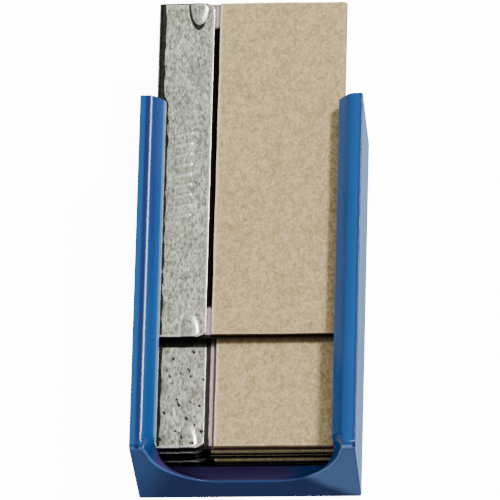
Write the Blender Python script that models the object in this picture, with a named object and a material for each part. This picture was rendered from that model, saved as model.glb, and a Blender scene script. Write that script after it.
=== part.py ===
"""A moulded plastic tray that holds a stack of single-edge blades, each with a
folded steel spine on its back and a folded board sleeve over its cutting edge.

Frame, in metres: +Z up out of the tray's open front, +Y towards its open end,
+X from the blades' spines towards their cutting edges. The origin is the centre
of the tray's underside. Blade 01 is the lowest, and the highest has been pushed
part of the way out of the open end with a thumb through the notch.
"""

import math

import bmesh
import bpy
from mathutils import Vector

MM = 0.001

# ---- tray -------------------------------------------------------------------
TRAY_W = 22.8        # over the side walls, at the top
TRAY_L = 40.0        # closed end to open end
TRAY_D = 11.75       # underside to the ridges of the lips
DRAFT = 0.09         # each side wall leans in by this much at the bottom
WELL_W = 20.2        # inside, between the side walls
FLOOR = 1.0
END_WALL = 1.9
LIP_OPENING = 17.7   # clear width between the two lips
LIP_SLOPE = 1.25     # width of a lip's sloping inner face
LIP_FALL = 1.45      # how far that face falls
LIP_UNDER = 2.35     # underside of the lips, below the ridges
LIP_ROUND = 0.9      # where the ridge turns into the slope
EDGE = 0.2           # rounding of the long outer edges
END_ROUND = 0.9      # rounding of the closed end's upper edge
WELL_ROUND = 0.3     # inside corners between floor and walls

# ---- thumb notch in the end wall ----------------------------------------------
NOTCH_FLOOR = 3.75   # height of its lowest part
NOTCH_FLAT = 2.0     # half width of the level part, on the outer face
NOTCH_R = 8.0        # the two big corner arcs, on the outer face
NOTCH_IN_FLAT = 2.25 # the same on the inner face, where it runs into the lips
NOTCH_IN_R = 6.6

# ---- sleeved blades -------------------------------------------------------------
COUNT = 7
STACK_Z = 1.25       # foot of the stack, a little clear of the floor
PITCH = 1.08         # from one blade to the next
BLADE_L = 38.1
BLADE_T = 0.20
BACK_X = -9.98       # outside of the spine's fold
SPINE_W = 5.74
SPINE_T = 0.90
SPINE_METAL = 0.31
SPINE_CORNER = 0.5   # cut corner of the spine at each end
EDGE_X = 8.96        # the cutting edge
GROUND = 1.1         # width of the ground bevel
FOLD_GAP = 0.03      # running clearance of a fold over the blade
SLEEVE_X0 = -3.70
SLEEVE_X1 = 9.40     # outside of the sleeve's fold
SLEEVE_L = 37.9
SLEEVE_T = 1.04
BOARD = 0.38
END_CLEAR = 0.17     # end wall to the stack
PUSHED = 11.92       # how far the top blade has been pushed out

# Crimps that lock the spine on the blade at each end: pressed in from underneath,
# so that each stands out of the upper face as a half-oval boss
CRIMP_X = 4.12       # from the fold to the crimp's middle
CRIMP_W = 1.8
CRIMP_L = 2.6
CRIMP_DEPTH = 0.13
CRIMP_RISE = 0.10

# Each blade and sleeve lies a little differently, lowest first:
# (blade sideways, blade lengthwise, sleeve sideways, sleeve lengthwise on its blade)
LIE = (
    (0.04, -0.02, 0.20, 0.00),
    (-0.05, 0.03, 0.08, 0.05),
    (0.05, -0.06, 0.26, -0.04),
    (-0.03, 0.06, 0.02, 0.03),
    (-0.06, -0.10, 0.16, -0.02),
    (0.02, 0.00, 0.44, 0.00),
    (0.00, PUSHED, 0.00, 0.08),
)


def material(name, colour, roughness, metallic=0.0):
    m = bpy.data.materials.new(name)
    m.use_nodes = True
    shader = m.node_tree.nodes["Principled BSDF"]
    shader.inputs["Base Color"].default_value = (*colour, 1.0)
    shader.inputs["Roughness"].default_value = roughness
    shader.inputs["Metallic"].default_value = metallic
    return m


def rounded(points, radii, steps):
    """A closed outline with each corner of non-zero radius turned into an arc."""
    out = []
    n = len(points)
    for i in range(n):
        p, r = Vector(points[i]), radii[i]
        a = (Vector(points[i - 1]) - p).normalized()
        b = (Vector(points[(i + 1) % n]) - p).normalized()
        if r <= 0:
            out.append(tuple(p))
            continue
        half = a.angle(b) / 2
        back = r / math.tan(half)
        centre = p + (a + b).normalized() * (r / math.sin(half))
        start, end = p + a * back, p + b * back
        t0 = math.atan2(start.y - centre.y, start.x - centre.x)
        turn = math.atan2(end.y - centre.y, end.x - centre.x) - t0
        turn = (turn + math.pi) % (2 * math.pi) - math.pi
        for k in range(steps + 1):
            t = t0 + turn * k / steps
            out.append((centre.x + r * math.cos(t), centre.y + r * math.sin(t)))
    return out


def loft(name, sections, mat, origin=(0.0, 0.0, 0.0)):
    """One closed solid through outlines in X and Z, each at its own Y, all in mm."""
    bm = bmesh.new()
    rings = []
    for y, outline in sections:
        rings.append([bm.verts.new(Vector((x, y, z)) - Vector(origin)) for x, z in outline])
    for one, two in zip(rings, rings[1:]):
        n = len(one)
        for i in range(n):
            j = (i + 1) % n
            bm.faces.new((one[i], one[j], two[j], two[i]))
    bm.faces.new(rings[0])
    bm.faces.new(rings[-1][::-1])
    bmesh.ops.scale(bm, vec=(MM, MM, MM), verts=bm.verts)
    bmesh.ops.recalc_face_normals(bm, faces=bm.faces)
    mesh = bpy.data.meshes.new(name)
    bm.to_mesh(mesh)
    bm.free()
    mesh.shade_smooth()
    mesh.set_sharp_from_angle(angle=math.radians(28))
    obj = bpy.data.objects.new(name, mesh)
    obj.location = Vector(origin) * MM
    bpy.context.scene.collection.objects.link(obj)
    if mat:
        mesh.materials.append(mat)
    return obj


def across(name, outline, half):
    """A closed solid with one outline in Y and Z, reaching half to each side in X."""
    bm = bmesh.new()
    sides = [[bm.verts.new((x * MM, y * MM, z * MM)) for y, z in outline] for x in (-half, half)]
    n = len(outline)
    for i in range(n):
        j = (i + 1) % n
        bm.faces.new((sides[0][i], sides[0][j], sides[1][j], sides[1][i]))
    bm.faces.new(sides[0])
    bm.faces.new(sides[1][::-1])
    bmesh.ops.recalc_face_normals(bm, faces=bm.faces)
    mesh = bpy.data.meshes.new(name)
    bm.to_mesh(mesh)
    bm.free()
    obj = bpy.data.objects.new(name, mesh)
    bpy.context.scene.collection.objects.link(obj)
    return obj


def cut(obj, cutter, name, operation="DIFFERENCE"):
    cutter.hide_render = True
    cutter.display_type = "WIRE"
    m = obj.modifiers.new(name, "BOOLEAN")
    m.operation = operation
    m.solver = "EXACT"
    m.object = cutter


# ---- the tray -------------------------------------------------------------------
def build_tray(mat):
    w, d, y0, y1 = TRAY_W / 2, TRAY_D, -TRAY_L / 2, TRAY_L / 2
    outline = rounded(
        [(-w + DRAFT, 0), (w - DRAFT, 0), (w, d), (-w, d)], [EDGE] * 4, 4
    )
    tray = loft("tray", [(y0, outline), (y1, outline)], mat)

    well, lip = WELL_W / 2, LIP_OPENING / 2
    ridge, top = lip + LIP_SLOPE, d + 1.5
    under, corner = d - LIP_UNDER, d - LIP_FALL
    right = [
        (well, FLOOR), (well, under), (lip, under), (lip, corner), (ridge, d),
        (ridge + 0.9, d), (ridge + 0.9, top),
    ]
    radii = [WELL_ROUND, 0.3, 0.15, 0.25, LIP_ROUND, 0.0, 0.0]
    shape = right + [(-x, z) for x, z in reversed(right)]
    opening = rounded(shape, radii + radii[::-1], 4)
    well_cut = loft("cut_well", [(y0 + END_WALL, opening), (y1 + 3, opening)], None)
    cut(tray, well_cut, "well")

    # The notch: a level sill that sweeps up in two big arcs. It is as wide as the
    # gap between the lips on the inner face and flares out to the outer face.
    heights = [d - 0.001, d - 0.03, d - 0.1, d - 0.2, d - 0.35, corner + 0.4, corner]
    heights = [NOTCH_FLOOR + NOTCH_R * (1 - math.cos(math.radians(4 * k))) for k in range(1, 20)
               if NOTCH_FLOOR + NOTCH_R * (1 - math.cos(math.radians(4 * k))) < corner - 0.1] + heights[::-1]

    def swept(z, flat, r):
        return flat + r * math.sin(math.acos(max(0.0, 1 - (z - NOTCH_FLOOR) / r)))

    def top_round(z, r):
        return r - math.sqrt(max(0.0, r * r - max(0.0, z - (d - r)) ** 2))

    def outer_x(z):
        return swept(z, NOTCH_FLAT, NOTCH_R) + top_round(z, 0.3)

    def inner_x(z):
        slope = lip + max(0.0, z - corner) * LIP_SLOPE / LIP_FALL
        return max(min(swept(z, NOTCH_IN_FLAT, NOTCH_IN_R), lip), slope) + top_round(z, 0.3)

    def notch_outline(at, flat, grow):
        half = [(flat, NOTCH_FLOOR)] + [(at(z) + grow, z) for z in heights]
        half.append((half[-1][0], top))
        return half + [(-x, z) for x, z in reversed(half)]

    sections = [
        (y0 - 2, notch_outline(outer_x, NOTCH_FLAT, 0.0)),
        (y0, notch_outline(outer_x, NOTCH_FLAT, 0.0)),
        (y0 + END_WALL, notch_outline(inner_x, NOTCH_IN_FLAT, 0.02)),
        (y0 + END_WALL + 0.2, notch_outline(inner_x, NOTCH_IN_FLAT, -0.03)),
    ]
    cut(tray, loft("cut_notch", sections, None), "notch")

    # The closed end's upper edge is rounded over.
    r = END_ROUND
    corner_line = [(y0 - 1, d + 1), (y0 + r, d + 1)]
    corner_line += [
        (y0 + r * (1 - math.sin(math.radians(15 * k))), d - r * (1 - math.cos(math.radians(15 * k))))
        for k in range(7)
    ]
    corner_line.append((y0 - 1, d - r))
    cut(tray, across("cut_end_edge", corner_line, w + 1), "end_edge")
    return tray


# ---- blades, spines and sleeves ----------------------------------------------------
def build_blade(index, x, y, z, mat):
    half, edge = BLADE_T / 2, 0.01
    back = BACK_X + SPINE_METAL + FOLD_GAP
    outline = [
        (back, -half), (EDGE_X - GROUND, -half), (EDGE_X, -edge),
        (EDGE_X, edge), (EDGE_X - GROUND, half), (back, half),
    ]
    placed = [(x + px, z + pz) for px, pz in outline]
    return loft(f"blade_{index:02d}", [(y, placed), (y + BLADE_L, placed)], mat, (x, y, z))


def folded(x_fold, x_open, thick, wall, slot, side, steps):
    """Outline of a sheet folded over the blade, with its fold at x_fold."""
    s = 1 if x_open > x_fold else -1
    outer = thick / 2 - 0.02
    inner = slot / 2 - 0.01
    points = [
        (x_open - s * side, thick / 2), (x_fold, thick / 2), (x_fold, -thick / 2),
        (x_open - s * side, -thick / 2), (x_open - s * side, -slot / 2),
        (x_fold + s * wall, -slot / 2), (x_fold + s * wall, slot / 2),
        (x_open - s * side, slot / 2),
    ]
    radii = [0, outer, outer, 0, 0, inner, inner, 0]
    return rounded(points, radii, steps)


def build_spine(index, x, y, z, mat):
    slot = BLADE_T + 2 * FOLD_GAP
    x1 = BACK_X + SPINE_W
    full = folded(BACK_X, x1, SPINE_T, SPINE_METAL, slot, 0.0, 4)
    short = folded(BACK_X, x1, SPINE_T, SPINE_METAL, slot, SPINE_CORNER, 4)
    put = lambda outline: [(x + px, z + pz) for px, pz in outline]
    sections = [
        (y, put(short)), (y + SPINE_CORNER, put(full)),
        (y + BLADE_L - SPINE_CORNER, put(full)), (y + BLADE_L, put(short)),
    ]
    spine = loft(f"spine_{index:02d}", sections, mat, (x, y, z))
    # Each crimp is a half-oval dish in the underside and a boss on the upper face.
    bm = bmesh.new()
    for end in (y, y + BLADE_L):
        made = bmesh.ops.create_uvsphere(bm, u_segments=16, v_segments=10, radius=1.0)["verts"]
        bmesh.ops.scale(bm, vec=(CRIMP_W / 2, CRIMP_L, 0.32), verts=made)
        bmesh.ops.translate(
            bm, verts=made,
            vec=(x + BACK_X + CRIMP_X, end, z - (SPINE_T / 2 + 0.32 - CRIMP_DEPTH)),
        )
    bmesh.ops.scale(bm, vec=(MM, MM, MM), verts=bm.verts)
    mesh = bpy.data.meshes.new(f"cut_crimp_{index:02d}")
    bm.to_mesh(mesh)
    bm.free()
    tool = bpy.data.objects.new(mesh.name, mesh)
    bpy.context.scene.collection.objects.link(tool)
    cut(spine, tool, "crimps")
    for tag, end, way in (("near", y, 1), ("far", y + BLADE_L, -1)):
        sections = []
        for k in range(8):
            share = math.sin(math.radians(11.5 * k))
            size = math.sqrt(1 - share ** 2)
            sections.append((end + way * (0.002 + share * CRIMP_L), [
                (x + BACK_X + CRIMP_X + size * CRIMP_W / 2 * math.cos(math.radians(a)),
                 z + SPINE_T / 2 - 0.05 + (0.05 + CRIMP_RISE * size) * math.sin(math.radians(a)))
                for a in range(0, 181, 15)
            ]))
        boss = loft(f"boss_{tag}_{index:02d}", sections, None)
        cut(spine, boss, f"boss_{tag}", "UNION")
    return spine


def build_sleeve(index, x, y, z, mat):
    slot = SLEEVE_T - 2 * BOARD
    outline = folded(SLEEVE_X1, SLEEVE_X0, SLEEVE_T, BOARD, slot, 0.0, 5)
    placed = [(x + px, z + pz) for px, pz in outline]
    return loft(f"sleeve_{index:02d}", [(y, placed), (y + SLEEVE_L, placed)], mat, (x, y, z))


def main():
    for obj in list(bpy.data.objects):
        bpy.data.objects.remove(obj)
    build_tray(material("tray_plastic", (0.018, 0.145, 0.38), 0.22))
    near = -TRAY_L / 2 + END_WALL + END_CLEAR
    for i, (bx, by, sx, sy) in enumerate(LIE, start=1):
        z = STACK_Z + (i - 0.5) * PITCH
        y = near + by
        build_blade(i, bx, y, z, material(f"blade_steel_{i:02d}", (0.62, 0.62, 0.62), 0.25, 1.0))
        build_spine(i, bx, y, z, material(f"spine_steel_{i:02d}", (0.50, 0.50, 0.46), 0.42, 1.0))
        build_sleeve(
            i, bx + sx, y + (BLADE_L - SLEEVE_L) / 2 + sy, z,
            material(f"sleeve_board_{i:02d}", (0.53, 0.42, 0.29), 0.9),
        )


main()
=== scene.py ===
import math

import bmesh
import bpy
import numpy as np
from mathutils import Matrix, Vector


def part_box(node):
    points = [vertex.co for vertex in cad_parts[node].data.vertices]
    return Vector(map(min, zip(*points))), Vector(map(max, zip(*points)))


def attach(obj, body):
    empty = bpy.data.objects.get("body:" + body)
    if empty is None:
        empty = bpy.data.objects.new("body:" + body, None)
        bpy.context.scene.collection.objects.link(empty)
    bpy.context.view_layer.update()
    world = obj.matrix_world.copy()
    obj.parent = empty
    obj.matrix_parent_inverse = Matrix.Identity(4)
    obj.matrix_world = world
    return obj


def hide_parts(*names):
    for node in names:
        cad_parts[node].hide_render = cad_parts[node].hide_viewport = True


# Looks for the blade tray: the moulded tray, the folded board sleeves and the folded
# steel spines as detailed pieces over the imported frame, with a floor, soft studio
# light and the camera.
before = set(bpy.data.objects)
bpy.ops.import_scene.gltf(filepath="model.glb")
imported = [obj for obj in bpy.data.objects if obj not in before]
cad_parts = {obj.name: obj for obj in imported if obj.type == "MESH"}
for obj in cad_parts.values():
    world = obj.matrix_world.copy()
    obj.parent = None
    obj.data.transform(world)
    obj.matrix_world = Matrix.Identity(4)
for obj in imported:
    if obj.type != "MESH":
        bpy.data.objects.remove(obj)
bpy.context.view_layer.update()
MM = 0.001
SCENE = bpy.context.scene
COUNT = 7


# =============================================================================
# Camera
# =============================================================================
AZ, EL, ROLL = math.radians(9.791), math.radians(63.491), math.radians(-9.364)
DIST = 1017.3          # mm, to a point 6 mm over the underside's centre
LENS = 721.3           # on a 36 mm sensor
AIM_RIGHT, AIM_UP = -0.084, 4.528
Y_SHIFT = -0.02


def make_camera():
    d = Vector((math.cos(EL) * math.sin(AZ), -math.cos(EL) * math.cos(AZ), math.sin(EL)))
    right = Vector((math.cos(AZ), math.sin(AZ), 0.0))
    up = right.cross(-d)
    right2 = math.cos(ROLL) * right + math.sin(ROLL) * up
    up2 = -math.sin(ROLL) * right + math.cos(ROLL) * up
    target = Vector((0.0, Y_SHIFT, 6.0))
    place = target + DIST * d
    aim = target + AIM_RIGHT * right2 + AIM_UP * up2
    back = (place - aim).normalized()
    side = up2.cross(back).normalized()
    top = back.cross(side)
    data = bpy.data.cameras.new("camera")
    data.lens, data.sensor_width = LENS, 36.0
    data.clip_start, data.clip_end = 0.05, 20.0
    cam = bpy.data.objects.new("camera", data)
    m = Matrix.Identity(4)
    for i in range(3):
        m[i][0], m[i][1], m[i][2], m[i][3] = side[i], top[i], back[i], place[i] * MM
    cam.matrix_world = m
    SCENE.collection.objects.link(cam)
    SCENE.camera = cam


make_camera()


# =============================================================================
# Node helpers
# =============================================================================
class Nodes:
    """A material's node tree, with short calls for the nodes used here."""

    def __init__(self, name):
        self.mat = bpy.data.materials.new(name)
        self.mat.use_nodes = True
        self.tree = self.mat.node_tree
        self.bsdf = self.tree.nodes["Principled BSDF"]
        self.coord = self.tree.nodes.new("ShaderNodeTexCoord").outputs["Object"]

    def put(self, socket, value):
        if isinstance(value, bpy.types.NodeSocket):
            self.tree.links.new(value, socket)
        else:
            socket.default_value = value

    def node(self, kind, **settings):
        n = self.tree.nodes.new(kind)
        for key, value in settings.items():
            setattr(n, key, value)
        return n

    def mapped(self, scale, location=(0.0, 0.0, 0.0), turn=(0.0, 0.0, 0.0)):
        n = self.node("ShaderNodeMapping")
        self.put(n.inputs["Vector"], self.coord)
        n.inputs["Scale"].default_value = [s / MM for s in scale]
        n.inputs["Location"].default_value = location
        n.inputs["Rotation"].default_value = turn
        return n.outputs["Vector"]

    def noise(self, vector, scale=1.0, detail=2.0, rough=0.5, warp=0.0, lacunarity=2.0):
        n = self.node("ShaderNodeTexNoise")
        self.put(n.inputs["Vector"], vector)
        n.inputs["Scale"].default_value = scale
        n.inputs["Detail"].default_value = detail
        n.inputs["Roughness"].default_value = rough
        n.inputs["Distortion"].default_value = warp
        n.inputs["Lacunarity"].default_value = lacunarity
        return n.outputs["Fac"]

    def cells(self, vector, scale=1.0, feature="F1", random=1.0):
        n = self.node("ShaderNodeTexVoronoi", feature=feature)
        self.put(n.inputs["Vector"], vector)
        n.inputs["Scale"].default_value = scale
        n.inputs["Randomness"].default_value = random
        return n.outputs["Distance"]

    def math(self, operation, a, b=0.5, clamp=False):
        n = self.node("ShaderNodeMath", operation=operation, use_clamp=clamp)
        self.put(n.inputs[0], a)
        self.put(n.inputs[1], b)
        return n.outputs[0]

    def span(self, value, lo, hi, to_lo=0.0, to_hi=1.0, smooth=True):
        n = self.node("ShaderNodeMapRange", interpolation_type="SMOOTHSTEP" if smooth else "LINEAR")
        self.put(n.inputs["Value"], value)
        for key, v in (("From Min", lo), ("From Max", hi), ("To Min", to_lo), ("To Max", to_hi)):
            self.put(n.inputs[key], v)
        return n.outputs["Result"]

    def mix(self, factor, a, b, blend="MIX"):
        n = self.node("ShaderNodeMix", data_type="RGBA", blend_type=blend)
        self.put(n.inputs[0], factor)
        for socket, v in ((n.inputs[6], a), (n.inputs[7], b)):
            self.put(socket, (*v, 1.0) if isinstance(v, tuple) and len(v) == 3 else v)
        return n.outputs[2]

    def attribute(self, name):
        n = self.node("ShaderNodeAttribute", attribute_name=name)
        return n.outputs["Fac"]

    def axis(self, which):
        n = self.node("ShaderNodeSeparateXYZ")
        self.put(n.inputs[0], self.coord)
        return n.outputs[which]

    def bump(self, height, distance, strength=1.0, normal=None):
        n = self.node("ShaderNodeBump")
        n.inputs["Strength"].default_value = strength
        n.inputs["Distance"].default_value = distance * MM
        self.put(n.inputs["Height"], height)
        if normal is not None:
            self.put(n.inputs["Normal"], normal)
        return n.outputs["Normal"]

    def set(self, **values):
        names = {"base": "Base Color", "rough": "Roughness", "metal": "Metallic", "ior": "IOR",
                 "normal": "Normal", "specular": "Specular IOR Level", "coat": "Coat Weight",
                 "coat_rough": "Coat Roughness", "sheen": "Sheen Weight", "aniso": "Anisotropic"}
        for key, value in values.items():
            if key == "base" and isinstance(value, tuple) and len(value) == 3:
                value = (*value, 1.0)
            self.put(self.bsdf.inputs[names[key]], value)
        return self.mat


# =============================================================================
# Materials
# =============================================================================
def tray_plastic():
    """Glossy moulded polystyrene: a faint orange peel, flow marks along the walls, fine
    handling scratches, painted light on the closed end, paler towards its corners, with a
    painted shade line at its foot, painted shade in the sill, dark painted-reflection lines
    along the lips' top edges, and worn rims that also carry painted highlights."""
    m = Nodes("tray_plastic")
    broad = m.noise(m.mapped((0.10, 0.035, 0.10)), 1.0, 2.0, 0.5, 0.6)
    cloud = m.noise(m.mapped((0.35, 0.35, 0.35), (2.0, 5.0, 1.0)), 1.0, 2.0, 0.5, 0.4)
    peel = m.noise(m.mapped((1.1, 0.8, 1.1)), 1.0, 1.0, 0.4)
    grain = m.noise(m.mapped((9.0, 9.0, 9.0), (3.1, 7.7, 1.3)), 1.0, 2.0, 0.6)
    scratch_a = m.noise(m.mapped((14.0, 0.35, 14.0), (0, 0, 0), (0.05, 0.0, 0.12)), 1.0, 3.0, 0.65, 0.3)
    scratch_b = m.noise(m.mapped((0.6, 13.0, 12.0), (5.0, 2.0, 8.0), (0.0, 0.2, -0.5)), 1.0, 3.0, 0.65, 0.3)
    scratches = m.math("MAXIMUM", m.span(scratch_a, 0.66, 0.74), m.span(scratch_b, 0.68, 0.76))
    worn_or_lit = m.attribute("wear_and_highlight")
    x, y, z = m.axis("X"), m.axis("Y"), m.axis("Z")
    ax = m.math("ABSOLUTE", x)
    wander = m.math("MULTIPLY", m.math("SUBTRACT", cloud, 0.5), 1.6 * MM)
    colour = m.mix(m.span(broad, 0.3, 0.7), (0.0058, 0.071, 0.268), (0.0072, 0.080, 0.295))
    colour = m.mix(m.math("MULTIPLY", m.span(grain, 0.45, 0.75), 0.22), colour, (0.010, 0.098, 0.330))
    # Painted light on the closed end: its face lighter, and paler still towards its corners.
    front = m.span(y, -19.55 * MM, -19.80 * MM)
    right = m.span(m.math("ADD", m.math("ADD", x, z), wander), 9.7 * MM, 11.9 * MM)
    left = m.span(m.math("ADD", m.math("SUBTRACT", m.math("MULTIPLY", z, 0.36), x), wander), 8.6 * MM, 14.0 * MM)
    left = m.math("MAXIMUM", left, m.math("MULTIPLY", m.span(x, -10.5 * MM, -11.2 * MM), 0.8))
    colour = m.mix(m.math("MULTIPLY", front, 0.80), colour, (0.056, 0.082, 0.255))
    colour = m.mix(m.math("MULTIPLY", m.math("MULTIPLY", front, left), 0.90), colour, (0.125, 0.290, 0.720))
    colour = m.mix(m.math("MULTIPLY", m.math("MULTIPLY", front, right), 0.92), colour, (0.290, 0.470, 0.960))
    # Painted shade: a dark line along the foot of the closed end.
    foot = m.math("MULTIPLY", m.span(y, -19.2 * MM, -19.4 * MM), m.span(z, 0.34 * MM, 0.16 * MM))
    colour = m.mix(m.math("MULTIPLY", foot, 0.90), colour, (0.006, 0.010, 0.035))
    # Painted shade in the sill, under the blade stack.
    sill = m.math("MULTIPLY", m.span(y, -19.90 * MM, -19.60 * MM), m.span(y, -17.9 * MM, -18.0 * MM))
    lean = m.math("MAXIMUM", m.math("MULTIPLY", x, 0.24), m.math("MULTIPLY", x, 0.50))
    level = m.math("ADD", m.math("ADD", z, wander), lean)
    sill = m.math("MULTIPLY", sill, m.span(level, 7.4 * MM, 5.4 * MM))
    sill = m.math("MULTIPLY", sill, m.span(z, 3.2 * MM, 3.4 * MM))
    sill = m.math("MULTIPLY", sill, m.span(ax, 10.2 * MM, 9.9 * MM))
    colour = m.mix(m.math("MULTIPLY", sill, 0.80), colour, (0.070, 0.028, 0.135))
    # Dark lines along the lips' top edges: painted dark reflection.
    high = m.span(z, 11.3 * MM, 11.5 * MM)
    dark_line_out = m.math("MULTIPLY", m.span(x, 10.98 * MM, 11.12 * MM), high)
    dark_line_in = m.math("MULTIPLY", m.math("MULTIPLY", m.span(x, -10.90 * MM, -10.74 * MM), m.span(x, -10.34 * MM, -10.44 * MM)), high)
    colour = m.mix(m.math("MULTIPLY", m.math("MAXIMUM", dark_line_out, dark_line_in), 0.88), colour, (0.010, 0.016, 0.100))
    # Painted shade on the left lip's slope, and a painted highlight along its inner corner.
    lip_high = m.span(z, 9.6 * MM, 9.9 * MM)
    slope_l = m.math("MULTIPLY", m.math("MULTIPLY", m.span(x, -10.12 * MM, -9.98 * MM), m.span(x, -9.12 * MM, -9.26 * MM)), lip_high)
    slope_l = m.math("MULTIPLY", slope_l, m.span(y, -9.0 * MM, 12.0 * MM, 0.15, 1.0))
    colour = m.mix(m.math("MULTIPLY", slope_l, 0.85), colour, (0.012, 0.036, 0.200))
    corner_l = m.math("MULTIPLY", m.math("MULTIPLY", m.span(x, -9.10 * MM, -9.00 * MM), m.span(x, -8.6 * MM, -8.8 * MM)), lip_high)
    corner_l = m.math("MULTIPLY", corner_l, m.span(y, -18.6 * MM, -17.4 * MM))
    colour = m.mix(m.math("MULTIPLY", corner_l, 0.85), colour, (0.190, 0.330, 0.560))
    colour = m.mix(m.math("MULTIPLY", scratches, 0.14), colour, (0.08, 0.19, 0.44))
    # Paler worn rims and edges: wear, and a painted highlight.
    colour = m.mix(m.math("MULTIPLY", worn_or_lit, 0.45), colour, (0.030, 0.165, 0.47))
    rough = m.span(broad, 0.2, 0.8, 0.15, 0.22)
    rough = m.math("ADD", rough, m.math("MULTIPLY", scratches, 0.16))
    rough = m.math("ADD", rough, m.math("MULTIPLY", m.span(grain, 0.4, 0.8), 0.05))
    rough = m.math("ADD", rough, m.math("MULTIPLY", sill, 0.12))
    n = m.bump(peel, 0.012, 0.55)
    n = m.bump(grain, 0.0016, 0.5, n)
    n = m.bump(scratches, -0.0022, 0.6, n)
    return m.set(base=colour, rough=rough, normal=n, ior=1.53, specular=0.24)


def sleeve_board():
    """Uncoated kraft chipboard: cloudy formation, short fibres lying every way with
    some grain lengthwise, a few dark flecks and pale fibres, frayed pale edges that also
    carry a painted highlight, and painted shade on the cut ends."""
    m = Nodes("sleeve_board")
    cloud = m.noise(m.mapped((0.50, 0.42, 0.9)), 1.0, 3.0, 0.55, 0.5)
    mottle = m.noise(m.mapped((1.9, 1.5, 1.9), (4.0, 1.0, 0.0)), 1.0, 3.0, 0.6, 0.7)
    tuft = m.noise(m.mapped((4.6, 3.4, 4.6), (1.0, 9.0, 3.0)), 1.0, 2.0, 0.55, 0.6)
    fibre_a = m.noise(m.mapped((9.0, 2.2, 9.0), (0, 0, 0), (0, 0, 0.35)), 1.0, 3.0, 0.6, 0.8)
    fibre_b = m.noise(m.mapped((2.6, 8.0, 8.0), (2, 5, 1), (0, 0, 0.25)), 1.0, 3.0, 0.6, 0.8)
    fine = m.noise(m.mapped((16.0, 14.0, 16.0), (1, 2, 3)), 1.0, 2.0, 0.6)
    fleck = m.cells(m.mapped((0.95, 0.80, 0.95), (0.3, 0.7, 0.2)), 1.0)
    pale = m.cells(m.mapped((1.4, 1.1, 1.4), (7.3, 2.7, 4.2)), 1.0)
    worn_or_lit, ply, painted_shade = m.attribute("wear_and_highlight"), m.attribute("ply"), m.attribute("painted_shade")
    base = m.mix(m.span(cloud, 0.3, 0.7), (0.530, 0.388, 0.183), (0.640, 0.472, 0.230))
    base = m.mix(m.math("MULTIPLY", m.span(mottle, 0.46, 0.66), 0.70), base, (0.760, 0.580, 0.310))
    base = m.mix(m.math("MULTIPLY", m.span(mottle, 0.52, 0.34), 0.70), base, (0.400, 0.285, 0.125))
    base = m.mix(m.math("MULTIPLY", m.span(tuft, 0.52, 0.66), 0.55), base, (0.800, 0.630, 0.350))
    base = m.mix(m.math("MULTIPLY", m.span(tuft, 0.48, 0.34), 0.55), base, (0.370, 0.262, 0.112))
    fibres = m.math("ADD", m.math("MULTIPLY", fibre_a, 0.5), m.math("MULTIPLY", fibre_b, 0.5))
    base = m.mix(m.math("MULTIPLY", m.span(fibres, 0.50, 0.66), 0.45), base, (0.74, 0.57, 0.31))
    base = m.mix(m.math("MULTIPLY", m.span(fibres, 0.50, 0.36), 0.40), base, (0.35, 0.245, 0.105))
    base = m.mix(m.math("MULTIPLY", m.span(fleck, 0.13, 0.06), 0.30), base, (0.25, 0.170, 0.075))
    base = m.mix(m.math("MULTIPLY", m.span(pale, 0.20, 0.06), 0.35), base, (0.76, 0.59, 0.34))
    # Pale frayed edges: wear, and a painted highlight.
    base = m.mix(m.math("MULTIPLY", worn_or_lit, 0.80), base, (0.96, 0.86, 0.62))
    base = m.mix(m.math("MULTIPLY", ply, 0.65), base, m.mix(fine, (0.36, 0.28, 0.15), (0.56, 0.45, 0.27)))
    # Painted shade on the cut ends, and a painted shadow under the pushed-out sleeve.
    base = m.mix(m.math("MULTIPLY", painted_shade, 0.93), base, (0.030, 0.022, 0.012))
    n = m.bump(fibres, 0.045, 0.55)
    n = m.bump(tuft, 0.030, 0.35, n)
    n = m.bump(fine, 0.012, 0.5, n)
    rough = m.span(fibres, 0.3, 0.7, 0.86, 0.96)
    return m.set(base=base, rough=rough, normal=n, specular=0.22, sheen=0.06)


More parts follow.
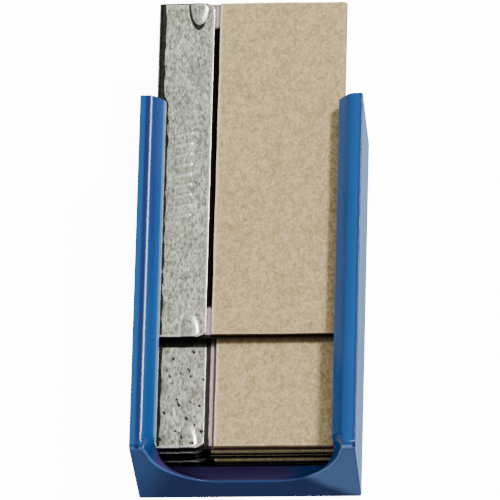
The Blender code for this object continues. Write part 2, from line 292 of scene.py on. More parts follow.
def spine_steel():
    """Tinned steel strip, rolled lengthwise and handled: pale and dull patches, short
    lengthwise pits and dark specks, bright where the edges and bosses rub, with painted
    highlights there, and black painted shade and dark reflection along the fold and on the cut ends."""
    m = Nodes("spine_steel")
    patch = m.noise(m.mapped((0.75, 0.38, 0.9)), 1.0, 3.0, 0.55, 0.5)
    streak = m.noise(m.mapped((3.0, 1.25, 3.0), (2.0, 0.0, 0.0), (0, 0, -0.14)), 1.0, 3.0, 0.6, 0.5)
    blot = m.noise(m.mapped((4.4, 2.3, 4.4), (6.0, 3.0, 0.0), (0, 0, 0.10)), 1.0, 3.0, 0.6, 0.6)
    grain = m.noise(m.mapped((22.0, 1.6, 22.0)), 1.0, 2.0, 0.6)
    speck = m.cells(m.mapped((1.75, 1.05, 1.6), (0.4, 0.1, 0.0), (0, 0, -0.1)), 1.0)
    speck_b = m.cells(m.mapped((2.7, 1.7, 2.4), (3.4, 5.1, 0.0)), 1.0)
    worn_or_lit, grime_and_shade = m.attribute("wear_and_highlight"), m.attribute("grime_and_shade")
    dark = m.math("MULTIPLY", m.span(speck, 0.22, 0.10), m.span(patch, 0.38, 0.52))
    dark_b = m.math("MULTIPLY", m.span(speck_b, 0.22, 0.08), m.span(streak, 0.60, 0.46))
    pits = m.math("MAXIMUM", dark, m.math("MULTIPLY", dark_b, 0.85))
    base = m.mix(m.span(patch, 0.30, 0.70), (0.46, 0.475, 0.385), (0.61, 0.63, 0.53))
    base = m.mix(m.math("MULTIPLY", m.span(streak, 0.54, 0.36), 0.75), base, (0.255, 0.260, 0.195))
    base = m.mix(m.math("MULTIPLY", m.span(streak, 0.54, 0.68), 0.60), base, (0.80, 0.81, 0.72))
    base = m.mix(m.math("MULTIPLY", m.span(blot, 0.50, 0.37), 0.74), base, (0.17, 0.17, 0.130))
    base = m.mix(m.math("MULTIPLY", m.span(blot, 0.54, 0.66), 0.62), base, (0.88, 0.89, 0.81))
    base = m.mix(m.math("MULTIPLY", pits, 0.85), base, (0.070, 0.068, 0.050))
    base = m.mix(m.math("MULTIPLY", worn_or_lit, 0.85), base, (0.95, 0.95, 0.91))
    # Black: painted shade and dark reflection along the fold, on the cut ends and round the bosses, with some
    # real dark blotches.
    ragged = m.math("ADD", grime_and_shade, m.math("MULTIPLY", m.math("SUBTRACT", blot, 0.5), 0.9))
    black = m.span(ragged, 0.40, 0.60)
    base = m.mix(m.math("MULTIPLY", black, 0.97), base, (0.016, 0.015, 0.012))
    rough = m.span(patch, 0.3, 0.7, 0.36, 0.48)
    rough = m.math("ADD", rough, m.math("MULTIPLY", pits, 0.25))
    rough = m.math("SUBTRACT", rough, m.math("MULTIPLY", worn_or_lit, 0.10))
    rough = m.math("ADD", rough, m.math("MULTIPLY", black, 0.20), True)
    n = m.bump(streak, 0.034, 0.55)
    n = m.bump(blot, 0.022, 0.5, n)
    n = m.bump(grain, 0.0022, 0.5, n)
    n = m.bump(pits, -0.020, 0.6, n)
    return m.set(base=base, rough=rough, normal=n, metal=1.0)


def blade_steel(name, near_end, dark_from, dark_to, bands=None, pink=None):
    """Rolled and hardened blade steel, with fine lengthwise rolling lines, the cross
    scratches of the ground edge, and painted shade between two places. With bands, the
    strip left bare beside the spine has painted shade beside the spine, a plain line, and
    warm painted shade beside the sleeve. With pink, its ends have warm painted shade on
    each side. The cut near end is black with painted shade."""
    m = Nodes(name)
    line = m.noise(m.mapped((30.0, 0.5, 30.0)), 1.0, 3.0, 0.65)
    cross = m.noise(m.mapped((0.8, 34.0, 6.0), (1, 2, 3), (0, 0, 0.04)), 1.0, 3.0, 0.65)
    cloud = m.noise(m.mapped((0.8, 0.5, 0.8)), 1.0, 3.0, 0.6, 0.4)
    x, y = m.axis("X"), m.axis("Y")
    ground = m.span(x, 7.75 * MM, 7.95 * MM)
    ragged = m.math("ADD", y, m.math("MULTIPLY", cloud, 1.2 * MM))
    gap_shade = m.math("MULTIPLY", m.span(ragged, (dark_from + 0.4) * MM, (dark_from + 1.0) * MM),
                  m.span(ragged, (dark_to + 0.9) * MM, (dark_to + 0.3) * MM))
    lines = m.mix(ground, line, cross)
    base = m.mix(m.span(cloud, 0.3, 0.7), (0.66, 0.60, 0.58), (0.80, 0.75, 0.73))
    base = m.mix(m.math("MULTIPLY", m.span(line, 0.55, 0.40), 0.35), base, (0.40, 0.36, 0.35))
    base = m.mix(ground, base, (0.80, 0.79, 0.78))
    if pink:
        # Warm painted shade at both sides of the bare strip.
        edge = m.math("MAXIMUM", m.span(x, (pink[0] + 0.05) * MM, (pink[0] - 0.05) * MM),
                      m.span(x, (pink[1] - 0.05) * MM, (pink[1] + 0.05) * MM))
        base = m.mix(m.math("MULTIPLY", edge, 0.80), base, (0.42, 0.20, 0.21))
    # Painted shade in the narrow gap between spine and sleeve.
    base = m.mix(gap_shade, base, (0.005, 0.004, 0.003))
    # Painted shade on the cut near end.
    ends = m.math("MULTIPLY", m.span(y, (near_end + 0.42) * MM, (near_end + 0.30) * MM), 0.97)
    base = m.mix(ends, base, (0.010, 0.008, 0.007))
    if bands:
        # On the bare strip: painted shade beside the spine, and warm painted shade beside the sleeve.
        wavy = m.math("ADD", x, m.math("MULTIPLY", m.math("SUBTRACT", cloud, 0.5), 0.18 * MM))
        spine_side_shade = m.span(wavy, (bands[0] + 0.04) * MM, (bands[0] - 0.06) * MM)
        sleeve_side_shade = m.span(wavy, (bands[1] - 0.04) * MM, (bands[1] + 0.06) * MM)
        base = m.mix(m.math("MULTIPLY", spine_side_shade, 0.96), base, (0.020, 0.016, 0.014))
        base = m.mix(m.math("MULTIPLY", sleeve_side_shade, 0.92), base, (0.150, 0.050, 0.055))
    rough = m.span(cloud, 0.3, 0.7, 0.26, 0.36)
    rough = m.math("ADD", rough, m.math("MULTIPLY", gap_shade, 0.10))
    n = m.bump(lines, 0.004, 0.6)
    return m.set(base=base, rough=rough, normal=n, metal=1.0)


# =============================================================================
# Mesh helpers
# =============================================================================
def waves(x, y, seed, wavelength, count=9, stretch=1.0):
    """Smooth repeatable unevenness from -1 to 1, with a main wavelength in mm."""
    rng = np.random.default_rng(seed)
    total = np.zeros_like(x)
    for _ in range(count):
        turn = rng.uniform(0, math.tau)
        k = math.tau / (wavelength * rng.uniform(0.6, 1.7))
        total += np.sin(k * (x * math.cos(turn) + y * math.sin(turn) / stretch) + rng.uniform(0, math.tau))
    return total / math.sqrt(count) / 1.6


def smooth(value, lo, hi):
    t = np.clip((value - lo) / (hi - lo), 0.0, 1.0)
    return t * t * (3 - 2 * t)


def link_mesh(name, verts, faces, mat, attributes=None, sharp=38.0):
    mesh = bpy.data.meshes.new(name)
    mesh.from_pydata([tuple(v) for v in verts], [], [tuple(f) for f in faces])
    bm = bmesh.new()
    bm.from_mesh(mesh)
    bmesh.ops.recalc_face_normals(bm, faces=bm.faces)
    bm.to_mesh(mesh)
    bm.free()
    for key, values in (attributes or {}).items():
        a = mesh.attributes.new(key, "FLOAT", "POINT")
        a.data.foreach_set("value", np.asarray(values, np.float32))
    mesh.shade_smooth()
    mesh.set_sharp_from_angle(angle=math.radians(sharp))
    obj = bpy.data.objects.new(name, mesh)
    SCENE.collection.objects.link(obj)
    mesh.materials.append(mat)
    return obj


def graded(length, step, ends):
    """Distances from 0 to length, close together at each end as listed, then even."""
    inner = np.linspace(ends[-1], length - ends[-1], max(2, int(round((length - 2 * ends[-1]) / step)) + 1))
    return np.concatenate([ends[:-1], inner, length - np.array(ends[:-1][::-1])])


def folded_strip(name, lo, hi, fold_low, thick, step_x, step_y, edge, form, mat, across=(0, .25, .5, .75, 1)):
    """A strip folded over on itself along X, as one closed shell. The strip is laid out
    by distance along its section, depth through it, and Y, and form() then moves the points."""
    half = (hi[2] - lo[2]) / 2
    mid = (hi[2] + lo[2]) / 2
    x_fold, x_open = (lo[0], hi[0]) if fold_low else (hi[0], lo[0])
    s = 1.0 if fold_low else -1.0
    centre = x_fold + s * half
    flat = abs(x_open - centre)
    ends = [0.0, 0.02, 0.045, 0.08, 0.14]
    runs = np.concatenate([ends, np.linspace(0.14, flat, max(3, int(flat / step_x)))[1:]])
    arc = np.linspace(0, math.pi, 15)[1:-1]
    px = np.concatenate([x_open - s * runs, centre - s * np.sin(arc) * 0, (x_open - s * runs)[::-1]])
    pz = np.concatenate([np.full_like(runs, 1.0), np.cos(arc), np.full_like(runs, -1.0)])
    nx = np.concatenate([np.zeros_like(runs), -s * np.sin(arc), np.zeros_like(runs)])
    nz = pz.copy()
    radius = half - thick / 2
    px[len(runs):len(runs) + len(arc)] = centre
    cx = px + nx * radius
    cz = nz * radius
    reach = np.concatenate([runs, np.full_like(arc, flat + 1.0), runs[::-1]])
    ys = lo[1] + graded(hi[1] - lo[1], step_y, ends)
    t = np.array(across, float)
    X = (cx[:, None] + nx[:, None] * thick * (0.5 - t)[None, :])[:, :, None] + np.zeros(len(ys))
    Z = (cz[:, None] + nz[:, None] * thick * (0.5 - t)[None, :])[:, :, None] + np.zeros(len(ys))
    Y = np.zeros_like(X) + ys
    T = np.zeros_like(X) + t[None, :, None]
    REACH = np.zeros_like(X) + reach[:, None, None]
    UP = np.zeros_like(X) + nz[:, None, None]
    NX = np.zeros_like(X) + nx[:, None, None]
    from_end = np.minimum(Y - lo[1], hi[1] - Y)
    outer = (1 - T)
    # Rounded outer edges, at the open edge and at both ends.
    gap = np.minimum(REACH, from_end)
    g = np.clip(edge - gap, 0, edge)
    drop = (edge - np.sqrt(np.maximum(edge ** 2 - g ** 2, 0))) * (outer > 0.99)
    X -= NX * drop
    Z -= UP * drop
    values = dict(X=X, Y=Y, Z=Z, T=T, reach=REACH, up=UP, nx=NX, from_end=from_end,
                  x_open=x_open, s=s, lo=lo, hi=hi)
    attributes = form(values) or {}
    X, Y, Z = values["X"], values["Y"], values["Z"]
    n_s, n_t, n_y = X.shape
    keep = np.zeros(X.shape, bool)
    keep[[0, -1], :, :] = True
    keep[:, [0, -1], :] = True
    keep[:, :, [0, -1]] = True
    index = np.full(X.shape, -1)
    index[keep] = np.arange(keep.sum())
    quads = []

    def sheet(a):
        quads.append(np.stack([a[:-1, :-1], a[1:, :-1], a[1:, 1:], a[:-1, 1:]], -1).reshape(-1, 4))

    sheet(index[:, 0, :]); sheet(index[:, -1, :])
    sheet(index[0, :, :]); sheet(index[-1, :, :])
    sheet(index[:, :, 0]); sheet(index[:, :, -1])
    verts = np.stack([X[keep], Y[keep], Z[keep] + mid], -1) * MM
    kept = {k: v[keep] for k, v in attributes.items()}
    return link_mesh(name, verts, np.concatenate(quads), mat, kept)


# =============================================================================
# The steel spines
# =============================================================================
CRIMP_X, CRIMP_HALF, CRIMP_LONG, CRIMP_RISE = 4.12, 0.90, 2.55, 0.105
CORNER = 0.52
BAR_FROM, BAR_PITCH, BARS = 13.6, 1.16, 9     # from the spine's near end, along Y


def build_spine(index, mat):
    node = f"spine_{index:02d}"
    lo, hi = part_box(node)
    lo, hi = [v / MM for v in lo], [v / MM for v in hi]
    hi[2] -= 0.10          # the node's box takes in the bosses; the strip is this much lower
    shown = index >= COUNT - 1

    def form(v):
        X, Y, Z, up = v["X"], v["Y"], v["Z"], v["up"]
        a = X - v["lo"][0]
        # The corners beside the open edge are cut off.
        near = v["from_end"]
        cut = np.maximum(0.0, CORNER - near)
        cut = np.where(near < CORNER + 0.12, np.maximum(cut, 0.5 * np.maximum(0, CORNER + 0.12 - near) ** 2 / 0.24), cut)
        zone = np.clip((X - (v["hi"][0] - 1.3)) / 1.3, 0, 1)
        X -= zone * cut
        # A boss at each end of each side: a half oval with a rounded shoulder.
        far = np.hypot((a - CRIMP_X) / CRIMP_HALF, near / CRIMP_LONG)
        rise = 1 - smooth(far, 0.70, 1.04)
        crown = 1 - 0.22 * smooth(far, 0.0, 0.72)
        boss = CRIMP_RISE * rise * crown
        # A groove just outside the shoulder, drawn down as the boss is pressed.
        groove = 0.028 * np.exp(-((far - 1.12) / 0.10) ** 2)
        flat = np.clip(np.abs(up), 0, 1) ** 4
        top = (up > 0.5) * flat
        bottom = (up < -0.5) * flat
        # It is pressed through, so the underside is dished where the upper face rises.
        height = (boss - groove) * top - 0.5 * boss * bottom
        # Plain stamped bars across the upper face, all alike.
        along = Y - (v["lo"][1] + BAR_FROM) - 0.22 * (a - 2.9)
        k = np.clip(np.round(along / BAR_PITCH), 0, BARS - 1)
        off = along - k * BAR_PITCH
        reach = np.maximum(np.abs(a - 2.9) - 0.75, 0)
        bar = (1 - smooth(np.hypot(off, reach), 0.10, 0.27)) * (index == COUNT)
        height = height + 0.055 * bar * top
        # Rolled strip is never quite flat.
        height = height + (0.012 * waves(X, Y, 40 + index, 5.0, stretch=2.5)
                           + 0.006 * waves(X, Y, 60 + index, 1.3, stretch=2.0) - 0.01) * (top + bottom)
        height = height * (v["T"] < 0.01)
        Z += np.sign(up) * height
        edge = np.minimum(v["reach"] - cut, near)
        worn_or_lit = 1 - smooth(edge, 0.10, 0.34)
        # Painted highlights on the bosses' rims, on the side away from the fold and at their
        # inner ends, and painted shade at the foot of the other side.
        side = np.clip((a - CRIMP_X) / CRIMP_HALF, -1, 1)
        tip = np.clip(near / CRIMP_LONG, 0, 1)
        at_near = Y < (v["lo"][1] + v["hi"][1]) / 2
        rim = np.exp(-((far - 0.88) / 0.11) ** 2)
        rim = rim * np.where(at_near, np.clip(0.45 + 0.85 * side + 0.75 * tip, 0, 1),
                             np.clip(0.25 + 1.1 * side - 0.5 * tip, 0, 1))
        line_left = np.exp(-((far - 0.80) / 0.07) ** 2) * (side < -0.5) * (~at_near) * 0.8
        rim_and_bar_highlight = np.maximum.reduce([rim, line_left, 0.80 * bar * top])
        worn_or_lit = np.clip(np.maximum(worn_or_lit, rim_and_bar_highlight * (top + bottom)), 0, 1)
        worn_or_lit *= 0.78 + 0.22 * waves(X, Y, 80 + index, 2.2)
        if index < COUNT:
            worn_or_lit *= 1 - (0.55 if index == COUNT - 1 else 0.8) * (1 - smooth(v["reach"], 0.2, 0.5)) * (near > 0.6)
        if index < COUNT - 1:
            worn_or_lit *= 0.25
        # Painted shade at the foot of each boss.
        foot_near = np.exp(-((far - 1.14) / 0.07) ** 2) * np.clip(0.85 * side - 0.1, 0, 1) * 0.62
        foot_far = np.exp(-((far - 1.10) / 0.13) ** 2) * np.clip(0.10 - 0.75 * side + 1.05 * tip, 0, 1) * 1.1
        foot = np.where(at_near, foot_near, foot_far)
        # Black along the fold: painted dark reflection, widened inside the tray as painted shade beside the lip.
        out = smooth(Y, 20.0, 22.0)
        wide = 0.80 * out + 1.28 * (1 - out) + 0.10 * waves(X * 0, Y, 320 + index, 1.6)
        fold = (1 - smooth(a, wide - 0.22, wide + 0.22)) * (0.35 + 0.65 * smooth(a, 0.10, 0.30))
        # Painted shade round the stamped bars.
        at_bar = np.exp(-((np.hypot(off, reach) - 0.34) / 0.10) ** 2) * (index == COUNT) * 0.46
        # Painted shade on the cut ends and along the far end's edge.
        cut = (v["T"] > 0.05) * (v["from_end"] < 0.001)
        far_edge = (~at_near) * (1 - smooth(near, 0.10, 0.24)) * 0.9
        blotch = smooth(waves(X, Y, 340 + index, 0.85, stretch=1.4), 0.30, 0.75) * 0.60 * (index == COUNT - 1)
        grime_and_shade = np.maximum.reduce([fold, foot * (top + bottom), at_bar * top, cut * 1.6, far_edge, blotch * top])
        if index == COUNT - 1:
            # A painted shadow line where the end of the pushed-out blade lies over this one.
            line = v["lo"][1] + PUSHED_BY - 0.26
            under = np.exp(-(np.maximum(np.abs(Y - line) - 0.34, 0) / 0.10) ** 2) * top
            grime_and_shade = np.maximum(grime_and_shade, under * 1.3)
        bright = (worn_or_lit > 0.5) * (a > 1.0) * (v["T"] < 0.5) * at_near
        grime_and_shade = grime_and_shade * np.where(bright & ~cut.astype(bool), 0.15, 1.0)
        return {"wear_and_highlight": np.clip(worn_or_lit, 0, 1) * (v["T"] < 0.5), "grime_and_shade": grime_and_shade}

    step = 0.11 if shown else 0.22
    obj = folded_strip(f"spine_{index:02d}_folded", lo, hi, True, 0.32, step, step, 0.07, form, mat)
    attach(obj, f"blade_{index:02d}")
    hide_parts(node)


PUSHED_BY = (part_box(f"spine_{COUNT:02d}")[0][1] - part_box(f"spine_{COUNT - 1:02d}")[0][1]) / MM


# =============================================================================
# The board sleeves
# =============================================================================
def build_sleeve(index, mat):
    node = f"sleeve_{index:02d}"
    lo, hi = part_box(node)
    lo, hi = [v / MM for v in lo], [v / MM for v in hi]
    shown = index >= COUNT - 1

    def form(v):
        X, Y, Z, up, T = v["X"], v["Y"], v["Z"], v["up"], v["T"]
        # Guillotined edges: not quite straight, and a little ragged through the board.
        ragged = 0.030 * waves(Y, Z * 3, 100 + index, 6.0) + 0.014 * waves(Y * 3, Z * 6 + T, 120 + index, 1.2)
        pull = (1 - smooth(v["reach"], 0.0, 0.5))
        X += (-v["s"]) * pull * (0.035 + ragged)
        nearness = 1 - smooth(v["from_end"], 0.0, 0.5)
        side = np.where(Y < (v["lo"][1] + v["hi"][1]) / 2, 1.0, -1.0)
        uneven = 0.022 * waves(X, Z * 3, 140 + index, 7.0) + 0.016 * waves(X * 3, Z * 6 + T, 160 + index, 1.0)
        Y += side * nearness * (0.035 + uneven)
        # The board's faces: dents and lifted fibres, kept inside the sleeve's own thickness.
        face = (T < 0.01) * np.clip(np.abs(up), 0, 1)
        dip = 0.010 + 0.007 * waves(X, Y, 180 + index, 3.2) + 0.004 * waves(X, Y, 200 + index, 0.8)
        # Pressed slightly thinner where it bends in towards its open edge.
        dip = dip + 0.02 * (1 - smooth(v["reach"], 0.1, 1.6))
        Z -= np.sign(up) * face * np.maximum(dip, 0)
        # Pale worn edges, which also carry a painted highlight.
        worn_or_lit = np.maximum(1 - smooth(v["reach"], 0.10, 0.36), 0.25 * (1 - smooth(v["from_end"], 0.08, 0.30)))
        worn_or_lit = worn_or_lit * (0.85 + 0.3 * waves(X, Y, 220 + index, 0.9))
        cut_face = ((v["reach"] < 0.001) | (v["from_end"] < 0.001)).astype(float)
        # Painted shade on the cut near ends: the top one all over, the lower ply of the next, and
        # the lowest ones.
        near_end = (Y < (v["lo"][1] + v["hi"][1]) / 2) * (v["from_end"] < 0.001) * (T > 0.01)
        amount = {COUNT: 1.0, COUNT - 1: 0.92 * (up < 0.3), COUNT - 2: 0.0, COUNT - 3: 0.0, COUNT - 4: 0.85}.get(index, 1.0)
        painted_shade = near_end * amount
        if index < COUNT - 4:
            painted_shade = np.maximum(painted_shade, (Y - v["lo"][1] < 0.5) * 1.0)
        if index == COUNT - 1:
            # A painted shadow line where the end of the pushed-out sleeve lies over this one.
            line = v["lo"][1] + PUSHED_BY - 0.10
            under = np.exp(-(np.maximum(np.abs(Y - line) - 0.18, 0) / 0.12) ** 2) * (T < 0.01) * (up > 0.5)
            painted_shade = np.maximum(painted_shade, 0.62 * under)
        # Sleeve COUNT - 3 takes only a quarter of the darker cut-face colour: painted light on its ends, which
        # sit in shade.
        return {"wear_and_highlight": np.clip(worn_or_lit * (1 - cut_face), 0, 1), "ply": cut_face * (T > 0.1) * (0.25 if index == COUNT - 3 else 1.0), "painted_shade": painted_shade * 1.0}

    step = 0.16 if shown else 0.32
    obj = folded_strip(f"sleeve_{index:02d}_board", lo, hi, False, 0.38, step, step, 0.05, form, mat,
                       across=(0, .15, .38, .62, .85, 1))
    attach(obj, node)
    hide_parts(node)


# =============================================================================
# The tray
# =============================================================================
LIP_OPENING, LIP_SLOPE, LIP_FALL, LIP_UNDER, LIP_ROUND = 17.7, 1.25, 1.45, 2.35, 0.9
WELL_W, WELL_ROUND, FLOOR, END_WALL, END_ROUND = 20.2, 0.3, 1.0, 1.9, 0.9
NOTCH_FLOOR, NOTCH_FLAT, NOTCH_R = 3.75, 2.0, 8.0
NOTCH_IN_FLAT, NOTCH_IN_R = 2.25, 6.6


def rounded(points, radii, steps):
    out = []
    n = len(points)
    for i in range(n):
        p, r = Vector(points[i]), radii[i]
        a = (Vector(points[i - 1]) - p).normalized()
        b = (Vector(points[(i + 1) % n]) - p).normalized()
        if r <= 0:
            out.append(tuple(p))
            continue
        half = a.angle(b) / 2
        back = r / math.tan(half)
        centre = p + (a + b).normalized() * (r / math.sin(half))
        start, end = p + a * back, p + b * back
        t0 = math.atan2(start.y - centre.y, start.x - centre.x)
        turn = math.atan2(end.y - centre.y, end.x - centre.x) - t0
        turn = (turn + math.pi) % (2 * math.pi) - math.pi
        for k in range(steps + 1):
            t = t0 + turn * k / steps
            out.append((centre.x + r * math.cos(t), centre.y + r * math.sin(t)))
    return out


def grown(outline, by):
    """The outline moved outwards along its own normals."""
    if by == 0:
        return list(outline)
    p = np.array(outline)
    forward = np.roll(p, -1, 0) - p
    forward /= np.maximum(np.linalg.norm(forward, axis=1, keepdims=True), 1e-9)
    n1 = np.stack([forward[:, 1], -forward[:, 0]], 1)
    n0 = np.roll(n1, 1, 0)
    area = 0.5 * np.sum(p[:, 0] * np.roll(p[:, 1], -1) - p[:, 1] * np.roll(p[:, 0], -1))
    n = n0 + n1
    n /= np.maximum(np.linalg.norm(n, axis=1, keepdims=True), 1e-9)
    stretch = 1 / np.maximum((n * n1).sum(1), 0.5)
    return [tuple(v) for v in p + n * (by * stretch)[:, None] * (1 if area > 0 else -1)]


def link_solid(name, bm):
    bmesh.ops.recalc_face_normals(bm, faces=bm.faces)
    mesh = bpy.data.meshes.new(name)
    bm.to_mesh(mesh)
    bm.free()
    obj = bpy.data.objects.new(name, mesh)
    SCENE.collection.objects.link(obj)
    return obj


def loft(name, sections, axis="Y"):
    """A closed solid through outlines, each at its own place along Y or X, all in mm."""
    bm = bmesh.new()
    if axis == "Y":
        rings = [[bm.verts.new((u * MM, at * MM, v * MM)) for u, v in outline] for at, outline in sections]
    else:
        rings = [[bm.verts.new((at * MM, u * MM, v * MM)) for u, v in outline] for at, outline in sections]
    n = len(rings[0])
    for one, two in zip(rings, rings[1:]):
        for i in range(n):
            j = (i + 1) % n
            bm.faces.new((one[i], one[j], two[j], two[i]))
    bm.faces.new(rings[0])
    bm.faces.new(rings[-1][::-1])
    return link_solid(name, bm)


def quarter(radius, steps=6):
    """Distances in from an edge, and how far a quarter round lies off the plane there."""
    out = []
    for k in range(steps + 1):
        t = math.pi / 2 * k / steps
        out.append((radius * (1 - math.cos(t)), radius * (1 - math.sin(t))))
    return out


def disc_cutter(name, x, y, z0, z1, r_out, r_in=0.0, steps=48):
    """A plain disc, or a ring when r_in is given, standing along Z."""
    bm = bmesh.new()
    loops = []
    for r in ([r_out] if r_in == 0 else [r_out, r_in]):
        loops.append([[bm.verts.new(((x + r * math.cos(math.tau * k / steps)) * MM,
                                     (y + r * math.sin(math.tau * k / steps)) * MM, z * MM))
                       for k in range(steps)] for z in (z0, z1)])
    for low, high in loops:
        for k in range(steps):
            j = (k + 1) % steps
            bm.faces.new((low[k], low[j], high[j], high[k]))
    if r_in == 0:
        bm.faces.new(loops[0][0]); bm.faces.new(loops[0][1])
    else:
        for level in (0, 1):
            a, b = loops[0][level], loops[1][level]
            for k in range(steps):
                j = (k + 1) % steps
                bm.faces.new((a[k], a[j], b[j], b[k]))
    return link_solid(name, bm)


def apply_modifiers(obj):
    dg = bpy.context.evaluated_depsgraph_get()
    mesh = bpy.data.meshes.new_from_object(obj.evaluated_get(dg))
    obj.modifiers.clear()
    old = obj.data
    obj.data = mesh
    bpy.data.meshes.remove(old)


def notch_half(d, share, grow, grow_high=None):
    """Half of the notch's outline, as half widths and heights: share is 0 on the outer
    face and 1 on the inner face, and grow widens it all round for a rounded rim. Up
    where it meets the lips it may widen by grow_high, so that it runs into them."""
    lip, corner, floor = LIP_OPENING / 2, d - LIP_FALL, NOTCH_FLOOR - grow

    def swept(z, flat, r):
        return flat + (r + grow) * math.sin(math.acos(min(1.0, max(0.0, 1 - (z - floor) / (r + grow)))))

    def top_round(z, r=0.3):
        return r - math.sqrt(max(0.0, r * r - max(0.0, z - (d - r)) ** 2))

    heights = [floor + (NOTCH_R + grow) * (1 - math.cos(math.radians(2.0 * k))) for k in range(1, 39)]
    heights += [corner] + [corner + v for v in (0.25, 0.5)]
    heights += [d - v for v in (0.6, 0.35, 0.25, 0.17, 0.1, 0.05, 0.015, 0.001)]
    half = [(NOTCH_FLAT + (NOTCH_IN_FLAT - NOTCH_FLAT) * share, floor)]
    for z in heights:
        outer = swept(z, NOTCH_FLAT, NOTCH_R)
        slope = lip + max(0.0, z - corner) * LIP_SLOPE / LIP_FALL + grow
        inner = max(min(swept(z, NOTCH_IN_FLAT, NOTCH_IN_R), lip + grow), slope)
        high = 0.0 if grow_high is None else (grow_high - grow) * float(smooth(z, 7.4, 9.3))
        half.append((outer * (1 - share) + inner * share + top_round(z) + high, z))
    return half


def build_tray(mat):
    lo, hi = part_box("tray")
    lo, hi = [v / MM for v in lo], [v / MM for v in hi]
    w, d, y0, y1 = hi[0], hi[2], lo[1], hi[1]
    # The block, with its outer edges rounded.
    def body(off):
        low, high = max(0.25 - off, 0.02), max(0.11 - off, 0.02)
        return rounded([(-w + 0.09 + off, off), (w - 0.09 - off, off), (w - off, d - off), (-w + off, d - off)],
                       [low, low, high, high], 8)

    near_edge = [(y0 + back, body(off)) for back, off in quarter(0.26)]
    far_edge = [(y1 - back, body(off)) for back, off in reversed(quarter(0.10, 4))]
    tray = loft("tray_moulding", near_edge + far_edge)
    # The well, open at the far end, with the lips' profile above it.
    well, lip = WELL_W / 2, LIP_OPENING / 2
    ridge, top = lip + LIP_SLOPE, d + 1.5
    under, corner = d - LIP_UNDER, d - LIP_FALL
    right = [(well, FLOOR), (well, under), (lip, under), (lip, corner), (ridge, d),
             (ridge + 0.9, d + 0.0005), (ridge + 0.9, top)]
    radii = [WELL_ROUND, 0.3, 0.15, 0.28, LIP_ROUND, 0.0, 0.0]
    shape = right + [(-x, z) for x, z in reversed(right)]
    opening = rounded(shape, radii + radii[::-1], 12)
    sections = [(y0 + END_WALL, opening), (y1 - 0.10, opening)]
    sections += [(y1 - back, grown(opening, off)) for back, off in reversed(quarter(0.10, 4)[:-1])]
    sections.append((y1 + 3, grown(opening, 0.10)))
    cutters = [loft("cut_well", sections)]
    # The notch, from its outer line to its inner line, with both rims rounded.
    def line(share, grow, grow_high=None):
        half = notch_half(d, share, grow, grow_high)
        half.append((half[-1][0], top))
        return half + [(-x, z) for x, z in reversed(half)]

    rim_out, rim_in = 0.24, 0.20
    sections = [(y0 - 2, line(0.0, rim_out))]
    sections += [(y0 + back, line(back / END_WALL, off)) for back, off in quarter(rim_out)]
    sections += [(y0 + END_WALL * k, line(k, 0.0)) for k in (0.35, 0.6)]
    sections += [(y0 + END_WALL - back, line(1 - back / END_WALL, off, 0.02)) for back, off in reversed(quarter(rim_in))]
    sections.append((y0 + END_WALL + 0.25, line(1.0, rim_in, -0.03)))
    cutters.append(loft("cut_notch", sections))
    # The closed end's upper edge is rounded over.
    r = END_ROUND
    curve = [(y0 - 1, d + 1), (y0 + r, d + 1)]
    curve += [(y0 + r * (1 - math.sin(math.radians(7.5 * k))), d - r * (1 - math.cos(math.radians(7.5 * k))))
              for k in range(13)]
    curve.append((y0 - 1, d - r))
    cutters.append(loft("cut_end_edge", [(-w - 1, curve), (w + 1, curve)], "X"))
    # Underneath: four ejector marks and the ring round the gate.
    for i, (x, y) in enumerate([(-7.5, -15.0), (7.5, -15.0), (-7.5, 15.0), (7.5, 15.0)]):
        cutters.append(disc_cutter(f"cut_pin_{i}", x, y, -0.5, 0.05, 1.25))
    cutters.append(disc_cutter("cut_gate", 0, 0, -0.5, 0.12, 1.7, 0.55))
    for c in cutters:
        b = tray.modifiers.new(c.name, "BOOLEAN")
        b.operation, b.solver, b.object = "DIFFERENCE", "EXACT", c
    apply_modifiers(tray)
    for c in cutters:
        bpy.data.objects.remove(c)
    bm = bmesh.new()
    bm.from_mesh(tray.data)
    bmesh.ops.remove_doubles(bm, verts=bm.verts, dist=0.002 * MM)
    bmesh.ops.dissolve_degenerate(bm, dist=0.001 * MM, edges=bm.edges)
    bm.to_mesh(tray.data)
    bm.free()
    mesh = tray.data
    mesh.materials.clear()
    mesh.materials.append(mat)
    mesh.shade_smooth()
    mesh.set_sharp_from_angle(angle=math.radians(34))
    weigh = tray.modifiers.new("normals", "WEIGHTED_NORMAL")
    weigh.mode, weigh.weight, weigh.keep_sharp = "FACE_AREA", 70, True
    # Where the rims and edges rub, and where they carry a painted highlight: by distance from the sharp edge each
    # rounding replaced.
    co = np.zeros(len(mesh.vertices) * 3)
    mesh.vertices.foreach_get("co", co)
    co = co.reshape(-1, 3) / MM
    ax, y, z = np.abs(co[:, 0]), co[:, 1], co[:, 2]
    rim = np.array(notch_half(d, 0.0, 0.0) + [(u, NOTCH_FLOOR) for u in np.linspace(0, NOTCH_FLAT, 12)])
    to_rim = np.min(np.hypot(ax[:, None] - rim[None, :, 0], z[:, None] - rim[None, :, 1]), 1)
    far = [np.hypot(to_rim, y - y0) - 0.05,
           np.hypot(ax - w + 0.09 * (1 - z / d), y - y0) - 0.05,
           np.hypot(ax - lip, z - corner) - 0.02,
           np.hypot(ax - w + 0.04, z - d + 0.02) + 0.04,
           np.hypot(z, y - y0)]
    wear_and_highlight = 1 - smooth(np.min(far, 0), 0.06, 0.20)
    a = mesh.attributes.new("wear_and_highlight", "FLOAT", "POINT")
    a.data.foreach_set("value", wear_and_highlight.astype(np.float32))
    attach(tray, "tray")
    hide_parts("tray")
    return tray


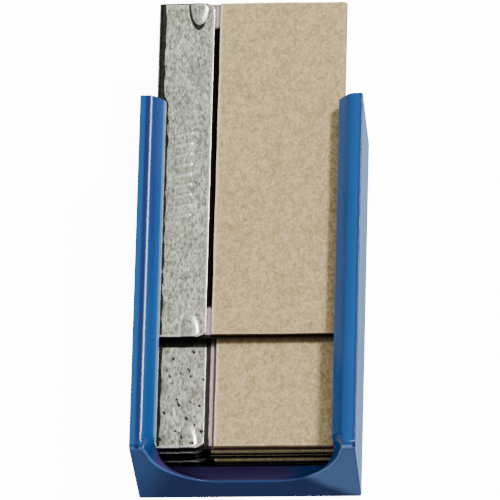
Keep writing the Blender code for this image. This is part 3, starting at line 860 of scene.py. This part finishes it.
# =============================================================================
# Build
# =============================================================================
build_tray(tray_plastic())
board, strip = sleeve_board(), spine_steel()
top_lo, top_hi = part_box(f"blade_{COUNT:02d}")
bare_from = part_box(f"spine_{COUNT:02d}")[1][0] / MM
near_6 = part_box(f"blade_{COUNT - 1:02d}")[0][1] / MM
gap_shaded_top = blade_steel("blade_steel_top", top_lo[1] / MM, top_lo[1] / MM + 3.3, top_hi[1] / MM - 2.6,
                       pink=(bare_from + 0.14, bare_from + 0.42))
plain = blade_steel("blade_steel_plain", near_6, 900.0, 901.0)
strip_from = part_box(f"spine_{COUNT - 1:02d}")[1][0] / MM
banded = blade_steel("blade_steel_banded", near_6, 900.0, 901.0, (strip_from + 0.46, strip_from + 0.74))
for i in range(1, COUNT + 1):
    build_spine(i, strip)
    build_sleeve(i, board)
    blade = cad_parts[f"blade_{i:02d}"]
    mat = {COUNT: gap_shaded_top, COUNT - 1: banded}.get(i, plain)
    if blade.data.materials:
        blade.data.materials[0] = mat
    else:
        blade.data.materials.append(mat)


# =============================================================================
# Floor, light and surroundings
# =============================================================================
def build_floor():
    bm = bmesh.new()
    rings = [[bm.verts.new((r * math.cos(math.tau * k / 64), r * math.sin(math.tau * k / 64), -0.00002))
              for k in range(64)] for r in (0.05, 0.2, 1.2)]
    bm.faces.new(rings[0])
    for a, b in zip(rings, rings[1:]):
        for k in range(64):
            j = (k + 1) % 64
            bm.faces.new((a[k], a[j], b[j], b[k]))
    bmesh.ops.recalc_face_normals(bm, faces=bm.faces)
    mesh = bpy.data.meshes.new("floor")
    bm.to_mesh(mesh)
    bm.free()
    floor = bpy.data.objects.new("floor", mesh)
    SCENE.collection.objects.link(floor)
    mat = bpy.data.materials.new("floor_white")
    mat.use_nodes = True
    shader = mat.node_tree.nodes["Principled BSDF"]
    shader.inputs["Base Color"].default_value = (0.95, 0.95, 0.95, 1)
    shader.inputs["Roughness"].default_value = 1.0
    shader.inputs["Specular IOR Level"].default_value = 0.0
    shader.inputs["Emission Color"].default_value = (1, 1, 1, 1)
    shader.inputs["Emission Strength"].default_value = 13.0
    mesh.materials.append(mat)
    floor.visible_glossy = False
    floor.visible_diffuse = False


KEY_DIR = Vector((0.65, 0.55, 1.0)).normalized()
KEY_AT, KEY_WIDE, KEY_POWER = 1.2, 0.22, 15.0


def build_light():
    data = bpy.data.lights.new("key", "AREA")
    data.shape, data.size, data.energy = "DISK", KEY_WIDE, KEY_POWER
    data.color = (1.0, 0.985, 0.96)
    key = bpy.data.objects.new("key", data)
    key.matrix_world = Matrix.Translation(KEY_DIR * KEY_AT) @ KEY_DIR.to_track_quat("Z", "Y").to_matrix().to_4x4()
    SCENE.collection.objects.link(key)
    world = bpy.data.worlds.new("surroundings")
    SCENE.world = world
    world.use_nodes = True
    t = world.node_tree
    for n in list(t.nodes):
        t.nodes.remove(n)

    def put(socket, value):
        if isinstance(value, bpy.types.NodeSocket):
            t.links.new(value, socket)
        else:
            socket.default_value = value

    def op(operation, a, b=0.0):
        n = t.nodes.new("ShaderNodeMath")
        n.operation = operation
        put(n.inputs[0], a)
        put(n.inputs[1], b)
        return n.outputs[0]

    def span(value, lo, hi, a, b):
        n = t.nodes.new("ShaderNodeMapRange")
        n.interpolation_type = "SMOOTHSTEP"
        for key_, v in (("Value", value), ("From Min", lo), ("From Max", hi), ("To Min", a), ("To Max", b)):
            put(n.inputs[key_], v)
        return n.outputs["Result"]

    split = t.nodes.new("ShaderNodeSeparateXYZ")
    put(split.inputs[0], t.nodes.new("ShaderNodeTexCoord").outputs["Generated"])
    x, y, z = split.outputs
    above = span(z, -0.15, 0.9, 0.40, 0.78)
    above = op("MULTIPLY", above, span(y, -0.75, 0.35, 0.52, 1.0))      # dimmer in front
    left = span(x, -0.2, -0.9, 1.0, 1.25)
    above = op("MULTIPLY", above, left)
    below = span(y, -0.35, 0.35, 0.15, 0.95)
    share = span(z, -0.15, 0.1, 0.0, 1.0)
    level = op("ADD", op("MULTIPLY", above, share), op("MULTIPLY", below, op("SUBTRACT", 1.0, share)))
    tint = t.nodes.new("ShaderNodeMix")
    tint.data_type = "RGBA"
    put(tint.inputs[0], share)
    put(tint.inputs[6], (0.62, 0.86, 1.25, 1.0))
    put(tint.inputs[7], (1.0, 1.0, 1.0, 1.0))
    room = t.nodes.new("ShaderNodeBackground")
    put(room.inputs["Color"], tint.outputs[2])
    put(room.inputs["Strength"], level)
    plain_bg = t.nodes.new("ShaderNodeBackground")
    put(plain_bg.inputs["Color"], (1, 1, 1, 1))
    put(plain_bg.inputs["Strength"], 14.5)
    path = t.nodes.new("ShaderNodeLightPath")
    mixer = t.nodes.new("ShaderNodeMixShader")
    put(mixer.inputs[0], path.outputs["Is Camera Ray"])
    t.links.new(room.outputs[0], mixer.inputs[1])
    t.links.new(plain_bg.outputs[0], mixer.inputs[2])
    out = t.nodes.new("ShaderNodeOutputWorld")
    t.links.new(mixer.outputs[0], out.inputs["Surface"])


build_floor()
build_light()
